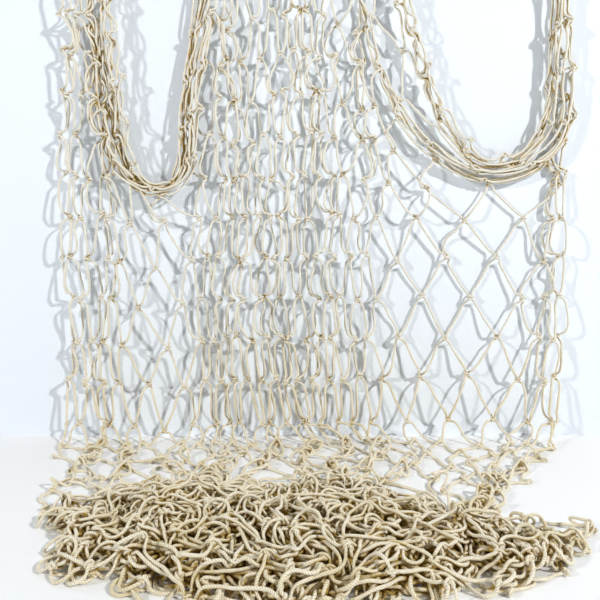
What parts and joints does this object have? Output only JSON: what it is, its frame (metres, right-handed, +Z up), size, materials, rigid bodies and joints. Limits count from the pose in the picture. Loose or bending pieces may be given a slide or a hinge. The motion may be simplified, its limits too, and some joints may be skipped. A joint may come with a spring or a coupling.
{
  "type": "fishing net",
  "caption": "Knotted natural cotton fishing net, hung from its top edge in panels and two swags, its lower part heaped on the floor.",
  "frame": {"origin": "middle of the net's top edge, in the plane of the wall that it hangs against", "axes": "+Z is up, +X runs along the top edge to the viewer's right, -Y points away from the wall to the viewer"},
  "size_m": [0.5338, 0.3314, 0.5261],
  "materials": {
    "cotton_cord": "undyed twisted cotton cord, matt, slightly fuzzy"
  },
  "bodies": {
    "root": {"net": "cotton_cord"}
  },
  "joints": []
}
